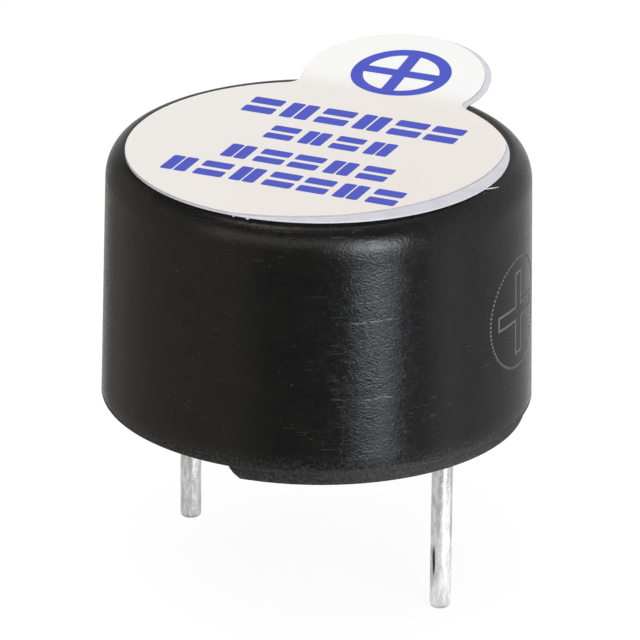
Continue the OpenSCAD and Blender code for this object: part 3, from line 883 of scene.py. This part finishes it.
def make_print(face):
    """The blue print: four rows of bars, and a ring with a cross on the tab."""
    bars = []
    for row in ROWS:
        for x0, x1, y0, y1 in row_bars(*row):
            bars.append(make_bar(f"bar_{len(bars)}", x0, x1, y0, y1))
    rows = join(bars, "print_rows")
    rows.data.transform(Matrix.Rotation(math.radians(ROW_TURN), 4, "Z"))
    ring_w = RING_OUT - RING_IN
    section = [(RING_IN + ring_w * i / RING_CUTS, INK_DRAWN_Z) for i in range(RING_CUTS + 1)]
    ring = turned("print_ring", section, centre=(RING_X, RING_Y), steps=RING_STEPS)
    reach = (RING_IN + RING_OUT) / 2
    half = CROSS_W / 2
    arms = [
        make_strip("cross_x", reach, half, *CROSS_CUTS),
        make_strip("cross_y", half, reach, *CROSS_CUTS[::-1]),
    ]
    laid = [lay_ink(ink, face, level) for level, ink in enumerate((rows, ring, *arms))]
    ink = join(laid, "label_print")
    smooth(ink)
    return dress(ink, None, print_blue())


def make_strip(name, half_x, half_y, cuts_x, cuts_y):
    """One arm of the cross, in a grid fine enough to follow the bent tab."""
    deselect()
    middle = (RING_X * MM, RING_Y * MM, INK_DRAWN_Z * MM)
    bpy.ops.mesh.primitive_grid_add(x_subdivisions=cuts_x, y_subdivisions=cuts_y, size=MM, location=middle)
    bpy.context.object.scale = (half_x * 2, half_y * 2, 1)
    return name_piece(name)


def make_pin(name, x, end_z, material, stands_for):
    """A pin: turned round wire with an eased end below, and a squared shank in the resin and the board."""
    start = end_z + PIN_ROUND
    rings = int((PIN_SHOW - end_z) / PIN_RING)
    section = [(0, end_z)]
    section += arc((PIN_R - PIN_ROUND, start), PIN_ROUND, -90, 0, PIN_END_STEPS)
    section += [(PIN_R, start + (PIN_SHOW - start) * i / rings) for i in range(1, rings + 1)]
    section += [(0, PIN_SHOW)]
    pin = turned(name, section, centre=(x, 0), steps=PIN_STEPS)
    roughen(pin, TIN_LUMP, TIN_DEPTH, 1.0)
    half = SHANK_W / 2
    corners = [(x - half, -half), (x + half, -half), (x + half, half), (x - half, half)]
    shank = slab("shank", corners, PIN_SHOW - SHANK_LAP, PIN_TOP)
    apply_modifier(shank, "BEVEL", width=SHANK_ROUND * MM, segments=2)
    pin = join([pin, shank], name)
    smooth(pin)
    return dress(pin, "tinned_pin", material, stands_for=[stands_for])


def make_dot(name):
    """One laser dot: a low disc with an eased edge, lying on the ground plane."""
    deselect()
    bpy.ops.mesh.primitive_cylinder_add(vertices=DOT_SIDES, radius=DOT_R * MM, depth=DOT_H * MM)
    dot = name_piece(name)
    bpy.ops.object.mode_set(mode="EDIT")
    pick(dot, "FACE", lambda middle: middle.z > DOT_H / 3)
    bpy.ops.mesh.inset(thickness=DOT_EDGE * MM)
    bpy.ops.transform.translate(value=(0, 0, DOT_EDGE_H * MM))
    bpy.ops.object.mode_set(mode="OBJECT")
    return dot


def mark_points():
    """Places of the dots, as (round the wall, up the wall) from the mark's centre."""
    count = round(2 * math.pi * MARK_R / MARK_STEP)
    points = arc((0, 0), MARK_R, 0, 360, count)[:-1]
    corners = []
    for cos, sin in ((1, 0), (0, 1), (-1, 0), (0, -1)):
        for x, y in ((PLUS_HALF, -PLUS_HALF), (PLUS_REACH, -PLUS_HALF), (PLUS_REACH, PLUS_HALF)):
            corners.append(Vector((x * cos - y * sin, x * sin + y * cos)))
    for here, there in zip(corners, corners[1:] + corners[:1]):
        steps = max(1, round((there - here).length / PLUS_STEP))
        points += [tuple(here.lerp(there, i / steps)) for i in range(steps)]
    return points


def make_side_mark():
    """The polarity mark on the wall over the positive pin: a dotted ring round an outlined plus."""
    pattern = make_dot("dot")
    dots = []
    for around, up in mark_points():
        z = MARK_Z + up
        radius = wall_r(z)
        dot = pattern.copy()
        dot.data = pattern.data.copy()
        bpy.context.collection.objects.link(dot)
        out = Matrix.Translation((radius * MM - DOT_SINK * MM, 0, z * MM))
        upright = Matrix.Rotation(math.pi / 2, 4, "Y")
        dot.data.transform(Matrix.Rotation(around / radius, 4, "Z") @ out @ upright)
        dots.append(dot)
    bpy.data.objects.remove(pattern)
    mark = join(dots, "side_mark")
    smooth(mark)
    return dress(mark, None, mark_grey())


def make_glue_beads():
    """A thin whisker of dried glue at the label's edge and two small beads under its front."""
    beads = []
    for x, y, z, size, long, turn in GLUE:
        deselect()
        bpy.ops.mesh.primitive_uv_sphere_add(
            segments=BEAD_STEPS[0], ring_count=BEAD_STEPS[1], radius=size * MM,
            location=(x * MM, y * MM, (TOP_Z + z) * MM),
        )
        bpy.context.object.scale = (long, 1.0, GLUE_H)
        bpy.context.object.rotation_euler = (0, 0, math.radians(turn))
        bead = name_piece(f"bead_{len(beads)}")
        roughen(bead, GLUE_LUMP, GLUE_DEPTH, 0.5)
        beads.append(bead)
    beads = join(beads, "glue_beads")
    smooth(beads, SMOOTH_GLUE)
    return dress(beads, None, glue_clear())


def make_resin_skin():
    """The open face of the casting: it creeps up the wall and round both pins."""
    root_z = RESIN_Z + SKIN_ROOT
    edge_z = RESIN_Z - CREEP
    section = [(0, root_z), (SKIN_R, root_z), (SKIN_R, edge_z), *meniscus(SKIN_R, -1), (0, SKIN_Z)]
    face = turned("resin_skin", section, steps=RESIN_STEPS)
    root_z = RESIN_Z + COLLAR_ROOT
    section = [(COLLAR_R, root_z), (COLLAR_R, edge_z), *meniscus(COLLAR_R, 1)]
    section += [(COLLAR_R + COLLAR_W, root_z), (COLLAR_R, root_z)]
    collars = [turned("collar", section, centre=(x, 0), steps=COLLAR_STEPS) for x in (-PIN_X, PIN_X)]
    face = join([face, *collars], "resin_skin")
    smooth(face, SMOOTH_RESIN)
    return dress(face, "resin_black", resin_gloss("resin face"))


def meniscus(radius, side):
    """Points of a hollow curve that leaves a wall at one side and runs out flat."""
    points = []
    for i in range(1, CREEP_STEPS + 1):
        share = i / CREEP_STEPS
        drop = (CREEP - SKIN_T) * (1 - share) ** CREEP_POWER
        points.append((radius + side * CREEP_W * share, SKIN_Z - drop))
    return points


def dress_inner_parts():
    """Finishes of the solids that stay as they are."""
    lead = plain_finish("matt tin", (0.66, 0.66, 0.67), (0.74, 0.74, 0.75), 0.38, 0.05, 0.002, metallic=1.0)
    chip = plain_finish(
        "chip black", (0.018, 0.018, 0.020), (0.030, 0.030, 0.032), 0.5, 0.03, 0.003, dust=0.12
    )
    wire = plain_finish(
        "enamelled wire", (0.52, 0.20, 0.075), (0.62, 0.26, 0.10), 0.28, 0.06, 0.002, metallic=0.8
    )
    steel = plain_finish(
        "zinc plated iron", (0.60, 0.60, 0.58), (0.50, 0.50, 0.49), 0.34, 0.09, 0.003,
        metallic=1.0, stretch=(8, 1, 1),
    )
    finishes = {
        "resin": resin_gloss("resin black"),
        "circuit_board": weave_finish("laminate", (0.42, 0.33, 0.13), (0.33, 0.25, 0.09)),
        "board_copper": plain_finish(
            "copper foil", (0.80, 0.42, 0.25), (0.70, 0.34, 0.19), 0.32, 0.07, 0.002,
            metallic=1.0, stretch=(4, 1, 1),
        ),
        "solder_joints": plain_finish(
            "solder", (0.70, 0.70, 0.71), (0.58, 0.58, 0.60), 0.26, 0.14, 0.012, metallic=1.0
        ),
        "transistor": chip,
        "diode": chip,
        "transistor_leads": lead,
        "diode_leads": lead,
        "resistor_ends": lead,
        "resistor": plain_finish(
            "resistor glaze", (0.010, 0.011, 0.016), (0.018, 0.019, 0.024), 0.2, 0.09, 0.003
        ),
        "yoke_plate": steel,
        "core": steel,
        "coil": wire,
        "coil_leads": wire,
        "magnet_ring": plain_finish(
            "ferrite", (0.030, 0.030, 0.034), (0.055, 0.055, 0.06), 0.55, 0.06, 0.008, dust=0.16
        ),
        "support_ring": plain_finish(
            "ivory plastic", (0.70, 0.66, 0.55), (0.64, 0.60, 0.50), 0.4, 0.08, 0.003
        ),
        "diaphragm": plain_finish(
            "rolled spring steel", (0.60, 0.61, 0.63), (0.52, 0.53, 0.55), 0.25, 0.05, 0.002,
            metallic=1.0, stretch=(1, 20, 1),
        ),
        "diaphragm_weight": plain_finish(
            "stamped iron", (0.42, 0.42, 0.44), (0.34, 0.34, 0.36), 0.36, 0.07, 0.004,
            metallic=1.0, stretch=(1, 6, 1),
        ),
    }
    for name, finish in finishes.items():
        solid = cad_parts[name]
        solid.data.materials.clear()
        solid.data.materials.append(finish)


# Stage, light and camera

CAMERA_WAY = math.radians(CAMERA_TURN)
FRONT = Vector((math.sin(CAMERA_WAY), -math.cos(CAMERA_WAY), 0))
RIGHT = Vector((math.cos(CAMERA_WAY), math.sin(CAMERA_WAY), 0))
DEGREES = 180 / math.pi

# The floor: its width, how far it lies under the long pin, its white to light,
# and the white and the glow that the camera sees instead
FLOOR_W = 600
FLOOR_DROP = 0.02
FLOOR_WHITE = 0.8
FLOOR_SEEN = 0.1
FLOOR_GLOW = 0.93

# The white that gloss sees of the floor: it fades out away from the object
# and is brighter at the front right
MIRROR_NEAR = 9.0
MIRROR_FAR = 17.0
MIRROR_LEVEL = 0.74
MIRROR_ADDED = 0.9
MIRROR_ASIDE = (0.0, 9.0)
MIRROR_AHEAD = (-2.5, 1.5)

# Light and white round the object, and the height that the lamps aim at
EVEN_LEVEL = 0.45
LAMPS_AIM = 3.5

# What gloss sees of the room: its dim level, then patches of light,
# each with its turn, lift, half width, half height and softness in degrees, and its colour
ROOM_LEVEL = (0.085, 0.083, 0.08)
ROOM_PATCHES = [
    (30, -3, 5, 9, 8, (8.6, 8.9, 9.4)),
    (38, -31, 1, 13, 9, (0.82, 0.84, 0.92)),
    (74, -22, 5, 30, 8, (0.2, 0.2, 0.2)),
    (110, -15, 30, 40, 45, (0.35, 0.35, 0.36)),
    (-90, -20, 42, 40, 25, (0.21, 0.2, 0.17)),
    (180, -22, 10, 25, 30, (0.45, 0.45, 0.45)),
    (-46, 58, 26, 3, 4, (1.6, 1.35, 1.1)),
    (-18, 12, 38, 4, 8, (1.0, 0.9, 0.8)),
    (0, 90, 180, 18, 25, (0.8, 0.79, 0.77)),
]


def heading(turn, lift):
    """Direction from the object, turned to the camera's right and lifted above the horizon, in degrees."""
    turn, lift = math.radians(turn), math.radians(lift)
    level = FRONT * math.cos(turn) + RIGHT * math.sin(turn)
    return level * math.cos(lift) + Vector((0, 0, math.sin(lift)))


def share_along(tree, vector, way):
    """How far a vector reaches along a direction."""
    return node(tree, "VectorMath", {0: vector, 1: way}, operation="DOT_PRODUCT").outputs["Value"]


def glowing(tree, strength):
    """A white glow."""
    return node(tree, "Emission", {"Color": (1, 1, 1, 1), "Strength": strength}).outputs[0]


def matt(tree, level):
    """A matt grey, as light as its level."""
    return node(tree, "BsdfDiffuse", {"Color": (level, level, level, 1)}).outputs[0]


def either(tree, share, first, second):
    """The first shader, mixed towards the second."""
    return node(tree, "MixShader", {0: share, 1: first, 2: second}).outputs[0]


def make_floor():
    """A plain white floor under the long pin. It is bright to the camera and to gloss near the object."""
    deselect()
    bpy.ops.mesh.primitive_plane_add(size=FLOOR_W * MM, location=(0, 0, (LONG_END - FLOOR_DROP) * MM))
    floor = name_piece("floor")
    floor.visible_shadow = False
    material = bpy.data.materials.new("studio floor")
    floor.data.materials.append(material)
    material.use_nodes = True
    tree = material.node_tree
    tree.nodes.remove(tree.nodes["Principled BSDF"])
    vector = in_millimetres(tree)
    x, y, _ = split(tree, vector)
    away = calc(tree, "SQRT", plus(tree, calc(tree, "POWER", x, 2.0), calc(tree, "POWER", y, 2.0)))
    aside = ramp(tree, share_along(tree, vector, RIGHT), *MIRROR_ASIDE)
    ahead = ramp(tree, share_along(tree, vector, FRONT), *MIRROR_AHEAD)
    level = plus(tree, times(tree, times(tree, aside, ahead), MIRROR_ADDED), MIRROR_LEVEL)
    clear = node(tree, "BsdfTransparent").outputs[0]
    mirrored = either(tree, ramp(tree, away, MIRROR_NEAR, MIRROR_FAR), glowing(tree, level), clear)
    seen = node(tree, "AddShader", {0: matt(tree, FLOOR_SEEN), 1: glowing(tree, FLOOR_GLOW)}).outputs[0]
    path = node(tree, "LightPath").outputs
    shown = either(tree, path["Is Glossy Ray"], matt(tree, FLOOR_WHITE), mirrored)
    shown = either(tree, path["Is Camera Ray"], shown, seen)
    shown = either(tree, node(tree, "NewGeometry").outputs["Backfacing"], shown, clear)
    tree.links.new(shown, tree.nodes["Material Output"].inputs["Surface"])


def patch(tree, turned_by, lifted_by, turn, lift, half_turn, half_lift, soft):
    """One soft-edged patch of the room, as a share from 0 to 1."""
    off = calc(tree, "ABSOLUTE", less(tree, turned_by, turn))
    off = calc(tree, "MINIMUM", off, less(tree, 360.0, off))
    across = ramp(tree, off, half_turn + soft, half_turn)
    off = calc(tree, "ABSOLUTE", less(tree, lifted_by, lift))
    return times(tree, across, ramp(tree, off, half_lift + soft, half_lift))


def make_world():
    """White behind the object for the camera. Gloss sees a dim room with a few bright panels in it."""
    world = bpy.data.worlds.new("studio")
    bpy.context.scene.world = world
    world.use_nodes = True
    tree = world.node_tree
    background = tree.nodes["Background"]
    way = node(tree, "TexCoord").outputs["Generated"]
    turned_by = calc(tree, "ARCTAN2", share_along(tree, way, RIGHT), share_along(tree, way, FRONT))
    turned_by = times(tree, turned_by, DEGREES)
    lifted_by = times(tree, calc(tree, "ARCSINE", split(tree, way)[2]), DEGREES)
    room = node(tree, "RGB").outputs[0]
    room.default_value = (*ROOM_LEVEL, 1)
    for *place, colour in ROOM_PATCHES:
        part = blend(tree, patch(tree, turned_by, lifted_by, *place), (0, 0, 0), colour)
        room = node(tree, "Mix", {0: 1.0, 6: room, 7: part}, data_type="RGBA", blend_type="ADD").outputs[2]
    path = node(tree, "LightPath").outputs
    even = blend(tree, path["Is Glossy Ray"], (EVEN_LEVEL, EVEN_LEVEL, EVEN_LEVEL), room)
    white = calc(tree, "MAXIMUM", path["Is Camera Ray"], path["Is Transmission Ray"])
    tree.links.new(blend(tree, white, even, (1.0, 1.0, 1.0)), background.inputs["Color"])
    background.inputs["Strength"].default_value = 1.0


def softbox(name, turn, lift, distance, width, height, level, colour=(1, 1, 1)):
    """An even panel of light that faces the object, unseen by gloss. At level 1 it is as bright as white."""
    data = bpy.data.lights.new(name, "AREA")
    data.shape = "RECTANGLE"
    data.size = width * MM
    data.size_y = height * MM
    data.energy = level * math.pi * width * height * MM * MM
    data.color = colour
    lamp = bpy.data.objects.new(name, data)
    bpy.context.collection.objects.link(lamp)
    out = heading(turn, lift)
    lamp.location = out * distance * MM + Vector((0, 0, LAMPS_AIM * MM))
    lamp.rotation_euler = out.to_track_quat("Z", "Y").to_euler()
    lamp.visible_camera = False
    lamp.visible_glossy = False


def make_lamps():
    """Soft light from the front right, and from above. What gloss sees is in the world's patches."""
    tint = (0.97, 0.98, 1.0)
    softbox("key", turn=30, lift=22, distance=450, width=252, height=300, level=4.0, colour=tint)
    softbox("overhead", turn=-20, lift=70, distance=540, width=480, height=480, level=2.25)


def make_camera():
    """The photograph's camera, as fitted to the outlines."""
    data = bpy.data.cameras.new("camera")
    data.lens = CAMERA_LENS
    data.sensor_width = SENSOR_W
    data.clip_start = CLIP_NEAR * MM
    data.clip_end = CLIP_FAR * MM
    camera = bpy.data.objects.new("camera", data)
    bpy.context.collection.objects.link(camera)
    turn = Matrix((CAMERA_RIGHT, CAMERA_UP, CAMERA_BACK)).transposed().to_4x4()
    camera.matrix_world = Matrix.Translation(Vector(CAMERA_PLACE) * MM) @ turn
    bpy.context.scene.camera = camera


bpy.context.scene.view_settings.view_transform = "Standard"
make_case()
make_print(make_label())
make_glue_beads()
long_tin = tinned_pin("tinned long pin", LONG_END, PIN_SCRATCH)
short_tin = tinned_pin("tinned short pin", SHORT_END)
make_pin("long_pin", PIN_X, LONG_END, long_tin, "positive_pin")
make_pin("short_pin", -PIN_X, SHORT_END, short_tin, "negative_pin")
make_side_mark()
make_resin_skin()
dress_inner_parts()
make_floor()
make_world()
make_lamps()
make_camera()
